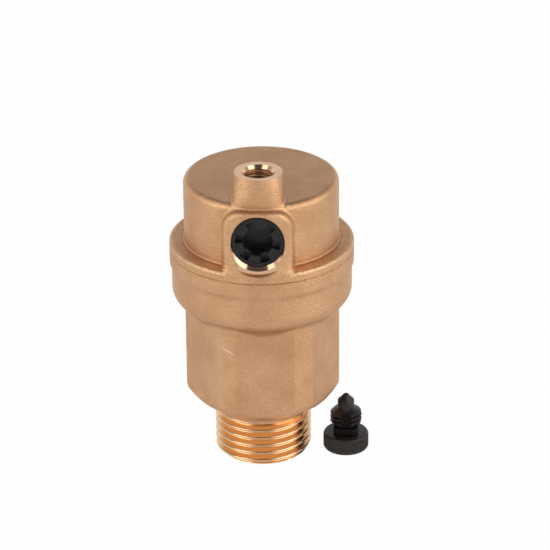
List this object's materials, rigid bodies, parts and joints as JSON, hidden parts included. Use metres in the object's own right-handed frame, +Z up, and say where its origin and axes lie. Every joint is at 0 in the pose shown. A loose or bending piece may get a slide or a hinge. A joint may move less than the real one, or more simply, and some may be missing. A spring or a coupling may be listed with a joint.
{
  "type": "air release valve",
  "caption": "Brass float-operated air release valve with a threaded bottom inlet, hexagon body, flanged screw cover, side valve insert, top vent boss and a loose black vent screw.",
  "frame": {"origin": "centre of the inlet thread's end face, on the valve's axis", "axes": "+Z up along the valve's axis, the valve pad and vent boss towards -Y, +X to the right seen from the pad"},
  "size_m": [0.0431, 0.0398, 0.071],
  "materials": {
    "cast_brass": "blasted casting",
    "turned_brass": "machined",
    "black_plastic": "satin moulded",
    "seal_rubber": "matte",
    "stainless_steel": "bright",
    "float_plastic": "natural moulded"
  },
  "bodies": {
    "valve": {"valve_body": "cast_brass", "cover": "cast_brass", "cover_o_ring": "seal_rubber", "valve_insert": "black_plastic", "valve_nozzle": "turned_brass", "insert_front_o_ring": "seal_rubber", "insert_rear_o_ring": "seal_rubber", "lever_pin": "stainless_steel", "pin_clips": "stainless_steel", "lever_spring": "stainless_steel"},
    "lever": {"float_lever": "stainless_steel", "seal_pad": "seal_rubber"},
    "float": {"float_shell": "float_plastic", "float_base": "float_plastic", "float_link": "stainless_steel"},
    "vent_screw": {"vent_screw": "black_plastic"}
  },
  "joints": [
    {"name": "float_rise", "type": "slide", "parent": "valve", "child": "float", "axis": [0, 0, 1], "range_m": [0, 0.0034]},
    {"name": "lever_swing", "type": "hinge", "parent": "valve", "child": "lever", "pos_m": [0, -0.00396, 0.05137], "axis": [1, 0, 0], "range_deg": [0, 28.11]},
    {"name": "vent_screw_away", "type": "slide", "parent": "valve", "child": "vent_screw", "axis": [1, 0, 0], "range_m": [0, 0.06]}
  ],
  "couplings": [
    {"joint": "lever_swing", "follows": "float_rise", "rad_per_m": 144.3}
  ]
}
